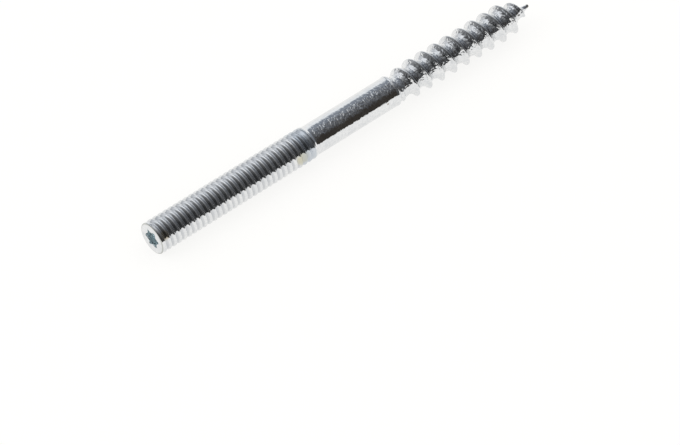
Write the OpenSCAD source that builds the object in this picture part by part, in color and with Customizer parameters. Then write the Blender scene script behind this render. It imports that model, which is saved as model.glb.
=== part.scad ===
// Hanger bolt: a double-ended stud with a metric thread and a star socket at one end,
// a plain shank in the middle and a wood-screw thread with a gimlet point at the other.
// It lies along X with the machine end at -X, and its fattest part touches Z = 0.
// The machine thread is fine, so it stands here as a plain cylinder over its crests.

/* [Machine end] */
// Outside diameter over the machine thread
thread_d = 3.9; // [3.2:0.1:8]
// Length of the machine-threaded end
thread_len = 21.6; // [10:0.2:60]
// How far the end bevel cuts in from the outside
bevel_w = 0.2; // [0.05:0.01:0.4]
// Length of the end bevel along the bolt
bevel_len = 0.2; // [0.05:0.01:1]
// Length of the step from the thread down to the shank
runout_len = 0.2; // [0.1:0.05:1]

/* [Star socket] */
// Width of the socket across two opposite lobes
star_tip_d = 2.2; // [1.8:0.02:2.5]
// Width of the socket across two opposite hollows
star_waist_d = 1.58; // [1.4:0.02:1.7]
// Radius of each lobe's rounded end
star_lobe_r = 0.18; // [0.14:0.01:0.22]
// Depth of the socket's straight wall
star_depth = 1.7; // [0.8:0.1:3]
// Depth of the cone at the socket's floor
star_cone_depth = 0.4; // [0.2:0.05:0.8]
// Angle of the first lobe about the bolt's axis
star_angle = 20; // [0:1:60]

/* [Shank] */
// Diameter of the plain shank
shank_d = 3.57; // [3.3:0.01:8]
// Length of the plain shank
shank_len = 12.1; // [4:0.1:60]
// Length of the bevel from the shank down to the wood thread's core
shank_bevel_len = 0.3; // [0.1:0.05:1]

/* [Wood thread] */
// Outside diameter over the wood thread's crests
crest_d = 4.1; // [3.6:0.05:8]
// Diameter of the core between the wood thread's turns
root_d = 2.8; // [2.4:0.05:3.2]
// Distance from one turn of the wood thread to the next
wood_pitch = 1.8; // [1.6:0.05:3]
// Length of the wood-threaded end with its point
wood_len = 19.8; // [12:0.1:60]
// Width of the thread's foot where it leaves the core
foot_w = 1.25; // [0.9:0.05:1.45]
// Width of the thread where its flanks turn steeper
waist_w = 0.7; // [0.5:0.02:0.9]
// Width of the flat along the thread's crest
crest_w = 0.1; // [0.05:0.01:0.2]
// Turns over which the thread rises to its full height
rise_turns = 1.3; // [0.5:0.1:2]
// Angle about the axis at which the thread leaves the shank
thread_angle = 172.5; // [0:7.5:360]

/* [Gimlet point] */
// Length of the cone from the full core to the needle
cone_len = 2.3; // [1.5:0.1:4]
// Length of the bare needle at the tip
needle_len = 1.05; // [0.6:0.05:2]
// Diameter of the needle where the cone ends
needle_d = 0.7; // [0.5:0.05:1]
// Diameter of the needle's blunt tip
tip_d = 0.36; // [0.2:0.02:0.48]

/* [Hidden] */
$fn = 96;

shank_start = thread_len + runout_len;
shank_end = thread_len + shank_len;
total_len = shank_end + wood_len;
cone_end = total_len - needle_len;
cone_start = cone_end - cone_len;

// The wood thread is one ridge, swept in equal steps that line up from turn to turn
turn_steps = 24;
// Distance of the axis above the ground: the ridge rests on a flat between two of its corners
axis_z = max(crest_d * cos(180 / turn_steps), thread_d, shank_d) / 2;
ridge_h = (crest_d - root_d) / 2;
// Share of the ridge's height at which its flanks turn steeper
waist_share = 0.4;
// Height with which the ridge leaves the shank's end
ridge_start_h = (shank_d - root_d) / 4;
// Turns over which the ridge runs out on the needle
fade_turns = 0.2;
// How far the ridge's foot is sunk into the core
ridge_root = root_d / 35;
ridge_turns = (cone_end - shank_end) / wood_pitch;
ridge_steps = round(ridge_turns * turn_steps);

// Radius of the core at a distance a from the machine end
function core_r(a) =
    a < cone_start ? root_d / 2 :
    a < cone_end ? root_d / 2 + (needle_d - root_d) / 2 * (a - cone_start) / cone_len :
    needle_d / 2;

// Height of the ridge above the core after a number of turns
function ridge_height(turn) =
    let (rise = ridge_start_h + (ridge_h - ridge_start_h) * turn / rise_turns,
         fade = ridge_h * (ridge_turns - turn) / fade_turns)
    max(ridge_h / 40, min(ridge_h, rise, fade));

// Cross-section of the ridge as points of radius and place along the bolt
function ridge_section(a, h) =
    let (r = core_r(a),
         share = h / ridge_h,
         waist_h = h * waist_share,
         spread = (foot_w - waist_w) * share * ridge_root / waist_h,
         sunk_w = foot_w * share + spread)
    [[r - ridge_root, -sunk_w / 2],
     [r + waist_h, -waist_w / 2 * share],
     [r + h, -crest_w / 2 * share],
     [r + h, crest_w / 2 * share],
     [r + waist_h, waist_w / 2 * share],
     [r - ridge_root, sunk_w / 2]];

// One ring of the swept ridge after a number of turns
function ridge_ring(turn) =
    let (a = shank_end + turn * wood_pitch, angle = thread_angle + 360 * turn)
    [for (p = ridge_section(a, ridge_height(turn))) [p[0] * cos(angle), p[0] * sin(angle), a + p[1]]];

// Outline of the socket: round lobes that run smoothly into round hollows
star_lobe_at = star_tip_d / 2 - star_lobe_r;
star_hollow_r = (pow(star_lobe_at, 2) + pow(star_waist_d / 2, 2)
    - star_lobe_at * star_waist_d * cos(30) - pow(star_lobe_r, 2))
    / (2 * (star_lobe_r + star_lobe_at * cos(30) - star_waist_d / 2));
star_hollow_at = star_waist_d / 2 + star_hollow_r;
// Direction from a lobe's centre to the next hollow's centre
star_turn = atan2(star_hollow_at * sin(30), star_hollow_at * cos(30) - star_lobe_at);
arc_steps = 6;
// How far the socket's cutter stands out of the end face
cutter_proud = 0.5;

function arc(centre, r, from, to) =
    [for (i = [0:arc_steps]) let (t = from + (to - from) * i / arc_steps)
        centre + r * [cos(t), sin(t)]];

function star_outline() =
    [for (k = [0:60:300]) each concat(
        arc(star_lobe_at * [cos(k), sin(k)], star_lobe_r, k - star_turn, k + star_turn),
        arc(star_hollow_at * [cos(k + 30), sin(k + 30)], star_hollow_r,
            k + 180 + star_turn, k + 240 - star_turn))];

// The turned body from end to end, with the socket still to be cut
module turned_body() {
    rotate_extrude()
        polygon([
            [0, 0],
            [thread_d / 2 - bevel_w, 0],
            [thread_d / 2, bevel_len],
            [thread_d / 2, thread_len],
            [shank_d / 2, shank_start],
            [shank_d / 2, shank_end],
            [root_d / 2, shank_end + shank_bevel_len],
            [root_d / 2, cone_start],
            [needle_d / 2, cone_end],
            [tip_d / 2, total_len - tip_d / 4],
            [tip_d / 4, total_len],
            [0, total_len]]);
}

// The wood thread's single ridge, swept along a right-hand helix
module wood_ridge() {
    corners = len(ridge_section(shank_end, ridge_h));
    points = [for (i = [0:ridge_steps]) each ridge_ring(i / turn_steps)];
    sides = [for (i = [0:ridge_steps - 1], j = [0:corners - 1])
        let (a = i * corners + j,
             b = i * corners + (j + 1) % corners)
        each [[a, b, a + corners], [b, b + corners, a + corners]]];
    first_end = [for (j = [corners - 1:-1:0]) j];
    last_end = [for (j = [0:corners - 1]) ridge_steps * corners + j];
    polyhedron(points, concat(sides, [first_end, last_end]), convexity = 10);
}

// The star socket with its conical floor
module star_socket() {
    translate([0, 0, -cutter_proud])
        linear_extrude(height = cutter_proud + star_depth)
            polygon(star_outline());
    translate([0, 0, star_depth])
        cylinder(d1 = star_waist_d, d2 = star_waist_d / 20, h = star_cone_depth);
}

module hanger_bolt() {
    color("silver")
        translate([-total_len / 2, 0, axis_z])
            rotate([0, 90, 0])
                difference() {
                    union() {
                        turned_body();
                        wood_ridge();
                    }
                    rotate([0, 0, star_angle])
                        star_socket();
                }
}

hanger_bolt();
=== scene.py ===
# %% [markdown]
# # Hanger bolt
#
# A hanger bolt is one piece of steel wire with a machine thread at one end and a wood-screw
# thread at the other. The wood thread is driven into a beam and the machine thread stays out to
# take a nut. A star socket in the machine end's face takes the driver.
#
# Everything here is in metres, and the bolt lies along X, with the machine end at -X. The solid
# part is loaded first. It is the fixed frame that the detailed bolt is built around.

# %% Load the solid part
import math

import bmesh
import bpy
import numpy as np
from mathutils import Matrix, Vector


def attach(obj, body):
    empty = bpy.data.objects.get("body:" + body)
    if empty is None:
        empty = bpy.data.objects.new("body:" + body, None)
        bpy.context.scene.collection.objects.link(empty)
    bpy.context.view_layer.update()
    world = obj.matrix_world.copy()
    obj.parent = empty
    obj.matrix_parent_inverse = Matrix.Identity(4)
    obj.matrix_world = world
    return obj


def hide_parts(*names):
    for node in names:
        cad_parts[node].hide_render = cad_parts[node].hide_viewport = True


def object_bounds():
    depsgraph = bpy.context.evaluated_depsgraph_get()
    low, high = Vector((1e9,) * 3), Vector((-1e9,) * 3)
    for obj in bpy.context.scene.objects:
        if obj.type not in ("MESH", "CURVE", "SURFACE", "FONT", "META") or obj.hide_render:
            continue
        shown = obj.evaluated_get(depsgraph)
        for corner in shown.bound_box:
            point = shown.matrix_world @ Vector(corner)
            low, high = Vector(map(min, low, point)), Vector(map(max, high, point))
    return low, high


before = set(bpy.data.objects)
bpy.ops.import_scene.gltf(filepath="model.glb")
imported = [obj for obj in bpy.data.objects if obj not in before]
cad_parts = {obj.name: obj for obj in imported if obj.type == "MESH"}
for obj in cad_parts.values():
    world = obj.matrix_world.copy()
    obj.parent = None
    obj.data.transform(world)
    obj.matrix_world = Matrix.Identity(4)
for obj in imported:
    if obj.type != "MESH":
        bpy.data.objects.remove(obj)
solid_lo, solid_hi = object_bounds()
print("Solid part from", [round(v, 5) for v in solid_lo], "to", [round(v, 5) for v in solid_hi])

# %% [markdown]
# ## Sizes
#
# The surface is worked out in millimetres, because a bolt's sizes are read in millimetres. Each
# place along the bolt is a distance from the machine end's face, and each place around it is an
# angle that starts straight down. Two sizes are shared by most steps: the radius of the plain wire
# and the place where the shank ends. The others are named where they are first needed.

# %% Sizes in millimetres
MM = 0.001
bolt_len = (solid_hi.x - solid_lo.x) / MM
axis_z = (solid_lo.z + solid_hi.z) / 2 / MM
blank_r = 1.785
shank_end = 33.7
print("Bolt", round(bolt_len, 2), "mm long, its axis", round(axis_z, 3), "mm above the floor")

# %% [markdown]
# ## A grid round the bolt
#
# The whole skin is one grid of rows and columns. The columns run along the bolt at even angles.
# Where the surface is turned, a row is a plain ring. Where it is threaded, a row is a stretch of
# helix, so that the sharp crest and the root each follow a row and stay crisp.

# %% Grid helpers
COLUMNS = 108
angles = np.arange(COLUMNS) * 2 * np.pi / COLUMNS
turn_share = np.arange(COLUMNS) / COLUMNS


def smooth(x, a, b):
    """0 before a, 1 after b and an S-shaped rise between them."""
    t = np.clip((x - a) / (b - a), 0, 1)
    return t * t * (3 - 2 * t)


class Skin:
    """Rings and helix rows, each joined to the one before. A point is (along, radius, angle)."""

    def __init__(self):
        self.points = []
        self.faces = []
        self.count = 0
        self.last = None

    def join(self, ring):
        """Faces between the last ring and a new one, both given by their first point."""
        if self.last is not None:
            j = np.arange(COLUMNS)
            k = (j + 1) % COLUMNS
            self.faces.append(np.stack([self.last + j, ring + j, ring + k, self.last + k], 1))

    def add_rings(self, rings):
        """Turned rings, each a distance along the bolt and a radius or a radius at each column."""
        for along, radius in rings:
            along = np.broadcast_to(along, (COLUMNS,)).astype(float)
            radius = np.broadcast_to(radius, (COLUMNS,)).astype(float)
            self.points.append(np.stack([along, radius, angles], 1))
            self.join(self.count)
            self.last = self.count
            self.count += COLUMNS


skin = Skin()
print("Grid of", COLUMNS, "columns")

# %% [markdown]
# ### Helix rows
#
# A helix row climbs one pitch in a turn, so its last column meets the row that starts a whole turn
# further on. At both ends of a thread the rows run past the end and are held there. They fall
# together on one flat ring, which joins the turned rings next to it.

# %% Helix rows


def add_helix(skin, start, end, pitch, phases, offset, radius_at):
    """Rows from start to end. Phases are the shares of a turn at which a turn has its rows."""
    rows_turn = len(phases)
    turns = math.ceil((end - start) / pitch) + 2
    base = start + ((offset - start) % pitch) - pitch
    row = np.arange(-rows_turn, turns * rows_turn + 1)
    place = base + pitch * (row // rows_turn + np.array(phases)[row % rows_turn])
    along = np.clip(place[:, None] + pitch * turn_share[None, :], start, end)
    radius = radius_at(along, (along - offset) / pitch - turn_share[None, :])
    grid = np.stack([along, radius, np.broadcast_to(angles, along.shape)], 2)
    skin.points.append(grid.reshape(-1, 3))
    first = skin.count
    rows = len(row)
    skin.count += rows * COLUMNS

    def at(r, column):
        return first + np.clip(r, 0, rows - 1) * COLUMNS + column

    i, j = np.meshgrid(np.arange(rows - 1), np.arange(COLUMNS - 1), indexing="ij")
    quads = np.stack([at(i, j), at(i + 1, j), at(i + 1, j + 1), at(i, j + 1)], 2)
    skin.faces.append(quads.reshape(-1, 4))
    r = np.arange(rows - 1)
    seam = COLUMNS - 1
    skin.faces.append(np.stack(
        [at(r, seam), at(r + 1, seam), at(r + 1 + rows_turn, 0), at(r + rows_turn, 0)], 1))
    skin.join(first)
    skin.last = first + (rows - 1) * COLUMNS
    return rows


print("Helix rows climb one pitch in", COLUMNS, "columns")

# %% [markdown]
# ## Star socket and end face
#
# A six-lobe key drives the bolt, so its end has a socket with six round lobes and six hollows.
# Two circles, one for a lobe and one for a hollow, meet at a tangent and give the edge's distance
# from the axis at every angle. A boolean cut would do too, but it leaves long thin faces. Rings of
# the grid follow the star instead, and a few grown rings round its punched edge.

# %% Star socket and end face
star_tip = 1.13
star_waist = 0.83
lobe_r = 0.18
star_turn = math.radians(20)
lobe_at = star_tip - lobe_r
hollow_r = ((lobe_at**2 + star_waist**2 - 2 * lobe_at * star_waist * math.cos(math.pi / 6)
             - lobe_r**2) / (2 * (lobe_r + lobe_at * math.cos(math.pi / 6) - star_waist)))
hollow_at = star_waist + hollow_r


def star_radius(grow):
    """Distance from the axis to the star's edge at each column, grown outwards a little."""
    a = np.abs((angles - star_turn + np.pi / 6) % (np.pi / 3) - np.pi / 6)
    r = lobe_r + grow
    lobe = lobe_at * np.cos(a) + np.sqrt(np.maximum(r**2 - (lobe_at * np.sin(a))**2, 0))
    b = np.pi / 6 - a
    h = hollow_r - grow
    hollow = hollow_at * np.cos(b) - np.sqrt(np.maximum(h**2 - (hollow_at * np.sin(b))**2, 0))
    meet = math.atan2(hollow_at * 0.5, hollow_at * math.cos(math.pi / 6) - lobe_at)
    edge = math.atan2(r * math.sin(meet), lobe_at + r * math.cos(meet))
    return np.where(a < edge, lobe, hollow)


socket_floor = [(2.10, 0.04), (1.90, 0.42), (1.72, 0.76)]
socket_wall = [(1.69, star_radius(-0.02))] + [(along, star_radius(0)) for along in (1.64, 1.1, 0.5, 0.1)]
punched_edge = [(0.05, star_radius(0.008)), (0.02, star_radius(0.022)), (0.004, star_radius(0.045)),
                (0.0, star_radius(0.07))]
# between the star and the round face one ring is half star, half circle
half_star = np.maximum(star_radius(0.09), 1.19) * 0.5 + 0.62
end_face = [(0.0, half_star), (0.0, 1.32), (0.0, 1.46), (0.0, 1.60), (0.0, 1.70)]
bevel = [(0.004, 1.76), (0.018, 1.815), (0.045, 1.865), (0.09, 1.895)]
skin.add_rings(socket_floor + socket_wall + punched_edge + end_face + bevel)
print("Socket", 2 * star_tip, "mm over its lobes and", 2 * star_waist, "mm over its hollows")

# %% [markdown]
# ## Machine thread
#
# This end takes an M4 nut, so the thread climbs 0.7 mm a turn. It is rolled between dies, which
# leaves a narrow flat on the crest and soft rounds at the root. A screw modifier could sweep a
# profile, but the run-outs at both ends would need hand work. Here one function gives the radius
# at any place, so the thread can start shallow at the bevel and fade out before the shank.

# %% Machine thread
thread_pitch = 0.7
crest_r = 1.95
root_r = 1.72
# shares of one turn: half the flat on the crest, then the slopes away from and towards the socket
crest_flat = 0.06
far_side = 0.26
near_side = 1 - 2 * crest_flat - far_side
# 0 gives straight slopes, and 1 a groove that is round like a wave
roundness = 0.6


def groove(turns):
    """How deep the groove is, from 0 on the crest to 1 at the root."""
    side = (turns + 0.5) % 1 - 0.5
    root_at = crest_flat + far_side
    after = np.where(side < root_at, (side - crest_flat) / far_side, 1 - (side - root_at) / near_side)
    share = np.clip(np.where(side < 0, (-side - crest_flat) / near_side, after), 0, 1)
    return (1 - roundness) * share + roundness * (1 - np.cos(np.pi * share)) / 2


print("Groove", round(crest_r - root_r, 2), "mm deep,", round(near_side / far_side, 2),
      "times as long on the socket's side")

# %% [markdown]
# ### Bevel, run-out and seam
#
# At the socket end the crest is cut by the bevel and the groove starts shallow. At the other end the
# dies lift out over a turn, so the groove fades and the crest drops a little. The last crests have a
# fine seam down the middle, where metal pushed up from both sides has met without closing.

# %% Bevel, run-out and seam
thread_start = 0.10
thread_end = 21.48
start_len = 0.45
bevel_r = 1.90
bevel_slope = 0.12
run_out_len = 1.2 * thread_pitch
run_out_drop = 0.045
seam_start = 20.0
seam_full = 20.5
seam_depth = 0.17
seam_half = 0.14


def machine_radius(x, turns):
    starts = smooth(x, thread_start, thread_start + start_len)
    to_end = np.clip((thread_end - x) / run_out_len, 0, 1)
    crest = np.minimum(crest_r - run_out_drop * (1 - to_end), bevel_r + (x - thread_start) * bevel_slope)
    in_seam = smooth(x, seam_start, seam_full) * (1 - smooth(x, thread_end - 0.10, thread_end))
    from_crest = np.abs((turns + 0.5) % 1 - 0.5)
    crest = crest - seam_depth * in_seam * np.clip(1 - from_crest / seam_half, 0, 1)
    return crest - (crest - root_r) * starts * to_end**0.6 * groove(turns)


rows_turn = 20
machine_phases = [row / rows_turn for row in range(rows_turn)]
# where the first crest would cross the line straight down
machine_offset = -0.06
rows = add_helix(skin, thread_start, thread_end, thread_pitch, machine_phases, machine_offset,
                 machine_radius)
print("Machine thread", rows, "rows, from", thread_start, "to", thread_end, "mm")

# %% [markdown]
# ## Shank
#
# The plain shank keeps the wire's own width. Rolling pushes metal outwards, so both threads stand
# a little proud of it. The machine thread ends in a small shoulder, and the wood thread's dies leave
# a faint raised lip. A few turned rings at each end are enough to catch a line of light.

# %% Shank
shoulder = [(21.51, 1.903), (21.56, 1.885), (21.63, 1.848), (21.70, 1.812), (21.75, 1.793)]
plain_wire = [(x, blank_r) for x in [21.82, *np.linspace(22.5, 33, 12)]]
lip = [(33.16, blank_r), (33.24, 1.792), (33.32, 1.815), (33.39, 1.836), (33.44, 1.842),
       (33.49, 1.832), (33.56, 1.790), (33.63, 1.740), (shank_end, 1.690)]
skin.add_rings(shoulder + plain_wire + lip)
print("Shank", round(shank_end - shoulder[-1][0], 2), "mm long,", 2 * blank_r, "mm thick")

# %% [markdown]
# ## Wood thread
#
# The wood thread is coarse, 1.8 mm a turn, with a sharp crest and flanks that sweep out into a
# thinner core. One curve gives the flank, as the share of the ridge's height at a distance from the
# crest. The rows are closest at the crest, where the edge has to stay crisp in a close view.

# %% Wood thread
wood_pitch = 1.8
wood_root_r = 1.40
wood_crest_r = 2.05
ridge_h = wood_crest_r - wood_root_r
flank_at = [0.0, 0.05, 0.10, 0.16, 0.24, 0.33, 0.42, 0.52, 0.62, 0.72, 0.82, 0.9]
flank_h = [1, 0.985, 0.89, 0.75, 0.56, 0.405, 0.29, 0.205, 0.13, 0.065, 0.02, 0.005]
wood_rows = flank_at + [wood_pitch - at for at in reversed(flank_at[1:-1])]
wood_phases = [at / wood_pitch for at in wood_rows]
# the crest leaves the shank on top
wood_offset = shank_end - wood_pitch / 2
print("Ridge", round(ridge_h, 2), "mm high, in", len(wood_phases), "rows a turn")

# %% [markdown]
# ### Rise, neck and cone
#
# The ridge starts low on the shank, rises over 1.3 turns, and fades within the last fifth of a turn
# on the cone. The shank narrows to the core over a short neck. The core's radius and the ridge's
# height are worked out apart and added, and the larger of ridge and neck wins.

# %% Rise, neck and cone
cone_start = 50.15
cone_end = 52.45
needle_r = 0.35
neck_r = 1.67
neck_start = shank_end - 0.05
neck_end = shank_end + 0.34
ridge_start_h = 0.19
rise_turns = 1.3
fade_turns = 0.2
ridge_turns = (cone_end - shank_end) / wood_pitch


def wood_radius(x, turns):
    from_crest = ((turns + 0.5) % 1 - 0.5) * wood_pitch
    cone = wood_root_r + (needle_r - wood_root_r) * (x - cone_start) / (cone_end - cone_start)
    core = np.where(x < cone_start, wood_root_r, np.maximum(needle_r, cone))
    neck = (neck_r - wood_root_r) * (1 - smooth(x, neck_start, neck_end))
    turn = (x - from_crest - shank_end) / wood_pitch
    height = ridge_start_h + (ridge_h - ridge_start_h) * np.clip(turn / rise_turns, 0, 1)
    height = np.minimum(height, ridge_h * np.clip((ridge_turns - turn) / fade_turns, 0, 1))
    height = np.where(turn < -0.02, 0, height)
    return np.maximum(core + neck, core + height * np.interp(np.abs(from_crest), flank_at, flank_h))


rows = add_helix(skin, shank_end + 0.02, cone_end + 0.1, wood_pitch, wood_phases, wood_offset,
                 wood_radius)
print("Wood thread", rows, "rows,", round(ridge_turns, 1), "turns")

# %% [markdown]
# ### Gimlet point
#
# The cone runs out into a fine needle that starts the hole. It is a few turned rings that taper, and
# close in quickly over the last tenth of a millimetre, so that the tip is blunt but round.

# %% Gimlet point
needle = [(52.62, 0.34), (52.8, 0.31), (53.0, 0.27), (53.2, 0.235), (53.35, 0.205), (53.44, 0.175),
          (53.49, 0.12), (bolt_len, 0.05)]
skin.add_rings(needle)
print("Needle", round(bolt_len - needle[0][0], 2), "mm long")

# %% [markdown]
# ## Make the mesh
#
# The rows are turned into points and four-sided faces. Helix rows are clamped at both ends of their
# thread, so many points fall together there, and merging them leaves one closed skin. An open edge
# count of zero proves it. The needle is bent up slightly, as such points are after a drop in a bin.

# %% Make the mesh
# how far the needle has risen one millimetre past the cone, growing with the distance squared
needle_bend = 0.06
grid = np.concatenate(skin.points)
along, radius, angle = grid[:, 0], grid[:, 1], grid[:, 2]
xyz = np.stack([solid_lo.x / MM + along, radius * np.sin(angle), axis_z - radius * np.cos(angle)], 1)
xyz[:, 2] += needle_bend * np.clip(along - cone_end, 0, None)**2
quads = np.concatenate(skin.faces)
# each end closes on the middle of its ring
ends = [[xyz[:COLUMNS].mean(0)], [xyz[skin.last:skin.last + COLUMNS].mean(0)]]
xyz = np.concatenate([xyz] + ends)
j = np.arange(COLUMNS)
k = (j + 1) % COLUMNS
caps = [np.stack([np.full(COLUMNS, len(xyz) - 2), j, k], 1),
        np.stack([np.full(COLUMNS, len(xyz) - 1), skin.last + k, skin.last + j], 1)]
print("Grid of", len(xyz), "points and", len(quads), "quads before merging")

# %% [markdown]
# ### Merge and hand over
#
# Points closer than a fifth of a micron become one, and faces with no area are dissolved. The solid
# part is then hidden, and the mesh is hung on the root body.

# %% Merge and hand over
merge_gap = 2e-7
flat_gap = 1e-8
mesh = bpy.data.meshes.new("bolt_body")
mesh.from_pydata((xyz * MM).tolist(), [], quads.tolist() + caps[0].tolist() + caps[1].tolist())
work = bmesh.new()
work.from_mesh(mesh)
bmesh.ops.remove_doubles(work, verts=work.verts, dist=merge_gap)
bmesh.ops.dissolve_degenerate(work, edges=work.edges, dist=flat_gap)
bmesh.ops.recalc_face_normals(work, faces=work.faces)
for face in work.faces:
    face.smooth = True
open_edges = [e for e in work.edges if len(e.link_faces) != 2]
print("Open edges", len(open_edges))
work.to_mesh(mesh)
work.free()
bolt = bpy.data.objects.new("bolt_body", mesh)
bpy.context.scene.collection.objects.link(bolt)
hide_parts("hanger_bolt")
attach(bolt, "root")
print(len(mesh.vertices), "points,", sum(len(p.vertices) - 2 for p in mesh.polygons), "triangles")

# %% [markdown]
# ## Node helpers
#
# A material is a small tree of nodes, and most of its lines only add a node and link it. These
# helpers do that in one call each, so that the finish below reads as a list of what is on the metal.

# %% Node helpers


def new_group(name, takes, gives):
    """An empty shader node group with named number, vector and colour sockets."""
    group = bpy.data.node_groups.new(name, "ShaderNodeTree")
    for label, kind, value in takes:
        socket = group.interface.new_socket(label, in_out="INPUT", socket_type="NodeSocket" + kind)
        if value is not None:
            socket.default_value = value
    for label, kind in gives:
        group.interface.new_socket(label, in_out="OUTPUT", socket_type="NodeSocket" + kind)
    return group, group.nodes.new("NodeGroupInput"), group.nodes.new("NodeGroupOutput")


def put(tree, kind, **settings):
    """Add a node. A setting named after an input takes a value or another node's output.

    i0, i1 and so on count the inputs instead, and set_x sets the node's own x.
    """
    node = tree.nodes.new(kind)
    for key, value in settings.items():
        if key.startswith("set_"):
            setattr(node, key[4:], value)
            continue
        socket = node.inputs[int(key[1:])] if key[1:].isdigit() else node.inputs[key.replace("_", " ")]
        if isinstance(value, bpy.types.NodeSocket):
            tree.links.new(value, socket)
        else:
            socket.default_value = value
    return node


print("Helpers: new_group and put")

# %% [markdown]
# ### Sums, masks and mixes
#
# Four kinds of node come up again and again: a sum, a product, a range stretched over another range,
# and a mix of two colours. Each helper gives back the output, so one call can go inside another.

# %% Sums, masks and mixes


def calc(tree, operation, a, b=0.0, c=0.0):
    node = put(tree, "ShaderNodeMath", set_operation=operation, i0=a, i1=b, i2=c)
    return node.outputs[0]


def times(tree, a, b):
    """Product of two values. Of two masks it leaves the place where both hold."""
    return calc(tree, "MULTIPLY", a, b)


def spread(tree, value, low, high, to_low=0.0, to_high=1.0, step="SMOOTHSTEP"):
    """Stretch the range from low to high over the range from to_low to to_high."""
    node = put(tree, "ShaderNodeMapRange", set_interpolation_type=step, Value=value)
    for key, number in (("From Min", low), ("From Max", high), ("To Min", to_low), ("To Max", to_high)):
        if isinstance(number, bpy.types.NodeSocket):
            tree.links.new(number, node.inputs[key])
        else:
            node.inputs[key].default_value = number
    return node.outputs["Result"]


def tint(tree, amount, a, b):
    """Colour a where amount is 0, and colour b where it is 1."""
    node = put(tree, "ShaderNodeMix", set_data_type="RGBA", i0=amount, i6=a, i7=b)
    return node.outputs[2]


print("Helpers: calc, times, spread and tint")

# %% [markdown]
# ## Plating grain
#
# Bright zinc follows every dent of the rolled wire, and it has a skin like fine orange peel. Noise
# in the object's own space gives it at a size in millimetres. The group puts out a height for the
# bump, and a slower mottle that shifts the colour and the gloss.

# %% Plating grain
grain, g_in, g_out = new_group(
    "plating_grain",
    [("Place", "Vector", None), ("Size", "Float", 0.2), ("Detail", "Float", 3.0)],
    [("Height", "Float"), ("Mottle", "Float")])
slow_share = 0.28
slow_shift = (0.13, 0.07, 0.05)
per_size = calc(grain, "DIVIDE", 1 / MM, g_in.outputs["Size"])
fine = put(grain, "ShaderNodeTexNoise", Vector=g_in.outputs["Place"], Scale=per_size,
           Detail=g_in.outputs["Detail"], Roughness=0.62)
moved = put(grain, "ShaderNodeVectorMath", set_operation="ADD", i0=g_in.outputs["Place"], i1=slow_shift)
slow = put(grain, "ShaderNodeTexNoise", Vector=moved.outputs[0], Detail=2.0, Roughness=0.5,
           Scale=times(grain, per_size, slow_share))
grain.links.new(spread(grain, fine.outputs["Fac"], 0.30, 0.70, step="LINEAR"), g_out.inputs["Height"])
grain.links.new(spread(grain, slow.outputs["Fac"], 0.32, 0.68), g_out.inputs["Mottle"])
print("Group", grain.name, "of", len(grain.nodes), "nodes")

# %% [markdown]
# ## Spot mask
#
# Stains and specks sit at a few known places. Each is a ball round a centre, with its edge made
# ragged by noise. One group serves them all, with its own centre and reach each time.

# %% Spot mask
spot, s_in, s_out = new_group(
    "spot_mask",
    [("Place", "Vector", None), ("Centre", "Vector", (0, 0, 0)), ("Reach", "Float", 0.5),
     ("Ragged", "Float", 0.3)],
    [("Mask", "Float")])
# noise with about four bumps to the millimetre, and the share of the reach that is fully covered
edge_scale = 4000.0
full_share = 0.4
gap = put(spot, "ShaderNodeVectorMath", set_operation="DISTANCE", i0=s_in.outputs["Place"],
          i1=s_in.outputs["Centre"])
gap_mm = times(spot, gap.outputs["Value"], 1 / MM)
edge = put(spot, "ShaderNodeTexNoise", Vector=s_in.outputs["Place"], Scale=edge_scale, Detail=2.0)
ragged = times(spot, calc(spot, "SUBTRACT", edge.outputs["Fac"], 0.5), s_in.outputs["Ragged"])
full_at = times(spot, s_in.outputs["Reach"], full_share)
mask = spread(spot, calc(spot, "ADD", gap_mm, ragged), full_at, s_in.outputs["Reach"], 1.0, 0.0)
spot.links.new(mask, s_out.inputs["Mask"])
print("Group", spot.name, "of", len(spot.nodes), "nodes")

# %% [markdown]
# ## Zinc plated steel
#
# The bolt is steel with a thin bright coat of zinc. It is a plain metal with low roughness, so its
# look is mostly what it mirrors. The rest are small truths, and each needs to know where on the bolt
# it is. Object coordinates give that in metres, so the next cells turn them into millimetres along
# the bolt, across it and out from its axis.

# %% Zinc plated steel
zinc = bpy.data.materials.new("zinc_plated_steel")
zinc.use_nodes = True
tree = zinc.node_tree
shader = tree.nodes["Principled BSDF"]
shader.inputs["Metallic"].default_value = 1.0
mesh.materials.append(zinc)

place = put(tree, "ShaderNodeTexCoord").outputs["Object"]
apart = put(tree, "ShaderNodeSeparateXYZ", Vector=place)
along_mm = calc(tree, "MULTIPLY_ADD", apart.outputs["X"], 1 / MM, -solid_lo.x / MM)
y_mm = times(tree, apart.outputs["Y"], 1 / MM)
from_axis = put(tree, "ShaderNodeCombineXYZ", Y=apart.outputs["Y"],
                Z=calc(tree, "SUBTRACT", apart.outputs["Z"], axis_z * MM))
from_axis = put(tree, "ShaderNodeVectorMath", set_operation="LENGTH", i0=from_axis.outputs[0])
radius_mm = times(tree, from_axis.outputs["Value"], 1 / MM)
print("Material", zinc.name, "on", mesh.name)

# %% [markdown]
# ### Places on the bolt
#
# A finish changes from one stretch to the next. A stretch is a mask that rises at one distance along
# the bolt and falls at another. A mask on the distance from the axis tells a crest from a groove,
# and the product of two masks is the place where both hold.

# %% Places on the bolt


def stretch(rise, fall):
    """Mask of a stretch that starts within one pair of distances and ends within another."""
    return times(tree, spread(tree, along_mm, *rise), spread(tree, along_mm, fall[1], fall[0]))


on_wood = spread(tree, along_mm, shank_end - 0.2, shank_end + 0.3)
on_wood_crest = times(tree, on_wood, spread(tree, radius_mm, 1.86, 1.98))
on_shank = stretch((21.8, 22.2), (shank_end - 0.2, shank_end + 0.3))
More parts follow.
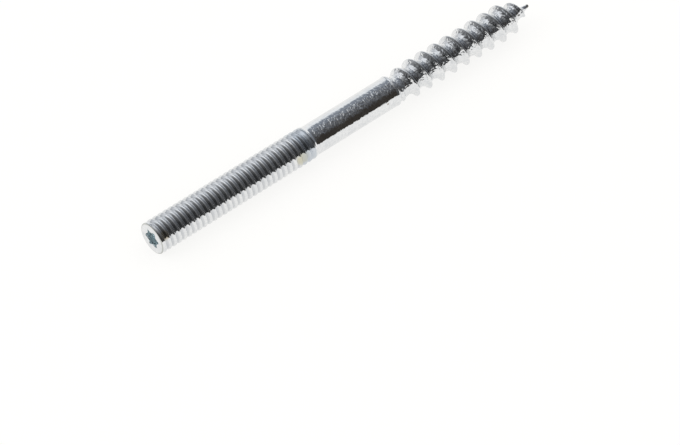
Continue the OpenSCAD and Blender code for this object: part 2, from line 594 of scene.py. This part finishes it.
# the side of the shank that faces up and forward
up_front = times(tree, spread(tree, y_mm, 0.25, -0.35), spread(tree, y_mm, -1.35, -1.0))
in_socket = times(tree, spread(tree, radius_mm, 1.16, 1.10), stretch((0.012, 0.06), (3.0, 3.2)))
on_rim = times(tree, spread(tree, radius_mm, 1.70, 1.82), spread(tree, along_mm, 0.10, 0.05))
# painted shade: the grooves of the machine thread, between crest and root, are darkened in the colour
groove_shade_mask = times(tree, spread(tree, radius_mm, 1.90, 1.76), stretch((0.3, 0.6), (20.8, 21.2)))
on_run_out = stretch((19.0, 20.2), (21.3, 21.5))
at_tip = spread(tree, along_mm, 53.12, 53.36)
print("Masks so far take", len(tree.nodes), "nodes")

# %% [markdown]
# ### Grain and stains in place
#
# The two groups are placed in this material with their own values. The wood thread has a fine and a
# coarse grain. On the shank the grain is longer round the wire than along it, as rollers leave it. A
# stain is placed by its distance along the bolt and its angle round it, from straight down.

# %% Grain and stains in place


def use(group, **settings):
    node = put(tree, "ShaderNodeGroup", set_node_tree=group)
    for key, value in settings.items():
        if isinstance(value, bpy.types.NodeSocket):
            tree.links.new(value, node.inputs[key])
        else:
            node.inputs[key].default_value = value
    return node.outputs


def mark(along, turn, radius, reach, ragged=0.3):
    """Mask of a stain at a distance along the bolt and an angle from straight down."""
    turn = math.radians(turn)
    at = (solid_lo.x + along * MM, radius * math.sin(turn) * MM, (axis_z - radius * math.cos(turn)) * MM)
    return use(spot, Place=place, Centre=at, Reach=reach, Ragged=ragged)["Mask"]


fine_grain = use(grain, Place=place, Size=0.24, Detail=0.6)
coarse_grain = use(grain, Place=place, Size=0.55, Detail=1.0)
squeezed = put(tree, "ShaderNodeVectorMath", set_operation="MULTIPLY", i0=place, i1=(1.0, 0.6, 0.6))
ring_grain = use(grain, Place=squeezed.outputs[0], Size=0.24, Detail=0.8)
brown = mark(0.75, 227.6, 1.75, 0.75)
yellow = mark(19.6, 257, 1.8, 1.1)
speck = mark(31.7, 251.8, blank_r, 0.16, 0.1)
print("3 grains and 3 stains, from", grain.name, "and", spot.name)

# %% [markdown]
# ### Colour
#
# Zinc is a slightly blue grey, and its crystals vary a little. Over that come the places where it
# differs: painted shade that darkens the grooves of the machine thread, stains where the plating is
# thin, a dark rim round the end face, and a bare tip. Each is laid over the last one, by the mask of
# its place and an amount.

# %% Colour
bright = tint(tree, coarse_grain["Mottle"], (0.70, 0.71, 0.725, 1), (0.80, 0.805, 0.81, 1))
dull = tint(tree, fine_grain["Height"], (0.68, 0.70, 0.72, 1), (0.86, 0.86, 0.86, 1))
color = tint(tree, 0.5, bright, dull)
over = [
    # painted shade in the machine thread's grooves
    (groove_shade_mask, 0.5, (0.42, 0.44, 0.47, 1)),
    (brown, 0.8, (0.42, 0.36, 0.26, 1)),
    (yellow, 0.9, (0.58, 0.56, 0.43, 1)),
    (speck, 0.8, (0.25, 0.20, 0.16, 1)),
    (in_socket, 1.0, (0.88, 0.97, 1.0, 1)),
    (on_rim, 0.7, (0.38, 0.39, 0.35, 1)),
    (at_tip, 0.85, (0.30, 0.27, 0.23, 1)),
    (on_run_out, 0.5, (0.42, 0.48, 0.55, 1)),
]
for mask, amount, paint in over:
    color = tint(tree, times(tree, mask, amount), color, paint)
tree.links.new(color, shader.inputs["Base Color"])
print("Colour in", len(over) + 1, "layers")

# %% [markdown]
# ### Gloss and bump
#
# Plating is smooth but not even, so the roughness follows the mottle. The socket is much duller. The
# bump is at most a few hundredths of a millimetre. It is strong on the flanks of the wood thread,
# which look hammered, and weak on its crests, which the dies press smooth. The shank's grain is kept
# to the side that faces up and forward, so that the mirrored edges above and below it stay straight.

# %% Gloss and bump
bump_height = 0.08 * MM
glossiest = 0.04
dullest = 0.11
socket_dullness = 0.28
rough = spread(tree, coarse_grain["Mottle"], 0.0, 1.0, glossiest, dullest, "LINEAR")
rough = calc(tree, "MULTIPLY_ADD", in_socket, socket_dullness, rough)
tree.links.new(rough, shader.inputs["Roughness"])

wood_height = calc(tree, "ADD", times(tree, fine_grain["Height"], 0.5),
                   times(tree, coarse_grain["Height"], 0.6))
wood_height = times(tree, wood_height, calc(tree, "MULTIPLY_ADD", on_wood, 0.58, 0.07))
wood_height = times(tree, wood_height, calc(tree, "MULTIPLY_ADD", on_wood_crest, -0.8, 1.0))
shank_grain = times(tree, on_shank, calc(tree, "MULTIPLY_ADD", up_front, 0.47, 0.04))
shank_height = times(tree, ring_grain["Height"], calc(tree, "ADD", shank_grain, 0.03))
heights = calc(tree, "ADD", wood_height, shank_height)
bump = put(tree, "ShaderNodeBump", Strength=1.0, Distance=bump_height, Height=heights)
tree.links.new(bump.outputs["Normal"], shader.inputs["Normal"])
print("Zinc takes", len(tree.nodes), "nodes")

# %% [markdown]
# ## Floor
#
# The bolt lies on white paper. A white diffuse floor alone would have to be lit very brightly to
# look white, and the bolt would burn out. So the paper is mostly a pale glow that only the camera
# and mirror-like rays see, plus a little diffuse white that keeps the bolt's soft shadow.

# %% Floor
floor_half = 3.0
floor_mesh = bpy.data.meshes.new("floor")
work = bmesh.new()
bmesh.ops.create_grid(work, x_segments=1, y_segments=1, size=floor_half)
work.to_mesh(floor_mesh)
work.free()
floor = bpy.data.objects.new("floor", floor_mesh)
bpy.context.scene.collection.objects.link(floor)
print("Floor", 2 * floor_half, "m wide")

# %% [markdown]
# ### White paper
#
# The glow and the share of the plain white light that the paper sends back add up to 1, which is
# white. A shadow takes only from the second part, so it stays faint.

# %% White paper
paper_glow = 0.84
paper_tone = (1.0, 0.995, 0.98, 1)
shadow_tone = (0.16, 0.16, 0.158, 1)
paper = bpy.data.materials.new("white_paper")
paper.use_nodes = True
paper.node_tree.nodes.clear()
paper_tree = paper.node_tree
path = put(paper_tree, "ShaderNodeLightPath")
seen = calc(paper_tree, "MAXIMUM", path.outputs["Is Camera Ray"], path.outputs["Is Glossy Ray"])
glow = put(paper_tree, "ShaderNodeEmission", Color=paper_tone,
           Strength=times(paper_tree, seen, paper_glow))
diffuse = put(paper_tree, "ShaderNodeBsdfDiffuse", Color=shadow_tone)
both = put(paper_tree, "ShaderNodeAddShader", i0=diffuse.outputs[0], i1=glow.outputs[0])
put(paper_tree, "ShaderNodeOutputMaterial", Surface=both.outputs[0])
floor_mesh.materials.append(paper)
print("Material", paper.name, "glows at", paper_glow)

# %% [markdown]
# ## Studio round the bolt
#
# A bright metal shows the room. This one has a white back wall, a dark room behind the camera, a
# dim wall on the left and one long soft box above it. Real walls would also shade the bolt and its
# shadow, so they are painted on the world by direction instead. A direction's X and Y run from -1 to
# 1, and so does the share of it that points to the back wall, away from the camera.

# %% Studio round the bolt
view_turn = math.radians(-39.95)
world = bpy.data.worlds.new("studio")
bpy.context.scene.world = world
world.use_nodes = True
world.node_tree.nodes.clear()
sky_tree = world.node_tree
toward = put(sky_tree, "ShaderNodeTexCoord").outputs["Generated"]
parts = put(sky_tree, "ShaderNodeSeparateXYZ", Vector=toward).outputs
to_back = put(sky_tree, "ShaderNodeVectorMath", set_operation="DOT_PRODUCT", i0=toward,
              i1=(-math.sin(view_turn), math.cos(view_turn), 0)).outputs["Value"]


def sky_ramp(value, stops):
    """Colours along a direction that runs from -1 to 1."""
    node = put(sky_tree, "ShaderNodeValToRGB", Fac=spread(sky_tree, value, -1, 1, step="LINEAR"))
    ramp = node.color_ramp
    while len(ramp.elements) > 1:
        ramp.elements.remove(ramp.elements[-1])
    for n, (at, color) in enumerate(stops):
        stop = ramp.elements[0] if n == 0 else ramp.elements.new((at + 1) / 2)
        stop.position = (at + 1) / 2
        stop.color = (*color, 1)
    return node.outputs["Color"]


def cool_ramp(value, stops):
    """The same, for stops that give a brightness. All of it is slightly blue."""
    return sky_ramp(value, [(at, (level * 0.96, level * 0.985, level * 1.02)) for at, level in stops])


print("World", world.name, "is painted by direction")

# %% [markdown]
# ### Room, left wall and soft box
#
# Each is one colour ramp. The room is brown and dark behind the camera, and turns blue and lighter
# towards the back. Its sharp step is the edge of the white back wall, which the metal shows as a
# crisp line of light. The left wall and the soft box are laid over it, each in its own range of X.

# %% Room, left wall and soft box
room = sky_ramp(to_back, [
    (-1, (0.04, 0.035, 0.03)), (-0.3, (0.04, 0.035, 0.03)), (0, (0.095, 0.10, 0.11)),
    (0.2, (0.11, 0.115, 0.125)), (0.4, (0.16, 0.17, 0.19)), (0.8, (0.28, 0.31, 0.36)),
    (0.87, (0.95, 0.98, 1.0)), (1, (1, 1, 1))])
left_wall = cool_ramp(parts["Y"], [(-0.5, 0.03), (0, 0.12), (0.5, 0.27), (0.8, 0.30), (0.95, 0.6)])
soft_box = cool_ramp(parts["Y"], [(-1, 0.06), (-0.4, 0.20), (0, 0.50), (0.4, 1.0), (0.7, 1.0), (1, 0.6)])
on_left = spread(sky_tree, parts["X"], 0.30, 0.05)
in_box = times(sky_tree, spread(sky_tree, parts["X"], 0.30, 0.12),
               spread(sky_tree, parts["X"], -0.60, -0.35))
mirrored = tint(sky_tree, in_box, tint(sky_tree, on_left, room, left_wall), soft_box)
print("Room, left wall and soft box take", len(sky_tree.nodes), "nodes")

# %% [markdown]
# ### Who sees the studio
#
# Only mirror-like rays see the painted room. All other rays see plain white, which lights the bolt
# and the paper evenly from every side.

# %% Who sees the studio
plain_white = put(sky_tree, "ShaderNodeBackground", Color=(1, 1, 1, 1), Strength=1.0)
studio = put(sky_tree, "ShaderNodeBackground", Color=mirrored)
path = put(sky_tree, "ShaderNodeLightPath")
mix = put(sky_tree, "ShaderNodeMixShader", i0=path.outputs["Is Glossy Ray"],
          i1=plain_white.outputs[0], i2=studio.outputs[0])
put(sky_tree, "ShaderNodeOutputWorld", Surface=mix.outputs[0])
print("Mirror-like rays see the studio, all others plain white")

# %% [markdown]
# ## Side light
#
# One weak area lamp on the left gives the shadow a side. It is hidden from mirror-like rays, since
# the soft box painted above already stands for what the metal would show of it.

# %% Side light
lamp_away = 0.7
lamp_side = Vector((-0.72, 0.28, 0.60)).normalized()
lamp = bpy.data.lights.new("side_light", "AREA")
lamp.shape = "RECTANGLE"
lamp.size = 0.45
lamp.size_y = 0.30
lamp.energy = 0.8
lamp_at = bpy.data.objects.new("side_light", lamp)
bpy.context.scene.collection.objects.link(lamp_at)
lamp_at.location = Vector((0, 0, axis_z * MM)) + lamp_side * lamp_away
lamp_at.rotation_euler = lamp_side.to_track_quat("Z", "Y").to_euler()
lamp_at.visible_glossy = False
print("Side light", lamp.energy, "W at", lamp_away, "m")

# %% [markdown]
# ## Camera
#
# A long lens from well back keeps the bolt's sides almost parallel. The camera is placed by an
# angle round the bolt, an angle above the floor and a distance. It looks at a point beside the
# bolt's middle, which puts the bolt where it belongs in the frame with no lens shift.

# %% Camera
elevation = math.radians(48.70)
distance = 0.6148
# what one pixel covers at the bolt
pixel = 0.1073 * MM
beside = Vector((-9.806, -11.234, axis_z)) * MM
away = Vector((math.sin(view_turn) * math.cos(elevation), -math.cos(view_turn) * math.cos(elevation),
               math.sin(elevation)))
right = Vector((math.cos(view_turn), math.sin(view_turn), 0))
up = away.cross(right)
# half a pixel to the side, because the frame's middle lies between two pixels
look_at = beside + (up - right) * pixel / 2

cam = bpy.data.cameras.new("camera")
cam.lens = 303.3
cam.sensor_width = 36
cam.sensor_fit = "HORIZONTAL"
cam.clip_start = 0.01
camera = bpy.data.objects.new("camera", cam)
bpy.context.scene.collection.objects.link(camera)
camera.location = look_at + away * distance
camera.rotation_euler = away.to_track_quat("Z", "Y").to_euler()
bpy.context.scene.camera = camera
bpy.context.scene.view_settings.view_transform = "Standard"
print("Camera at", [round(v, 4) for v in camera.location], "m")
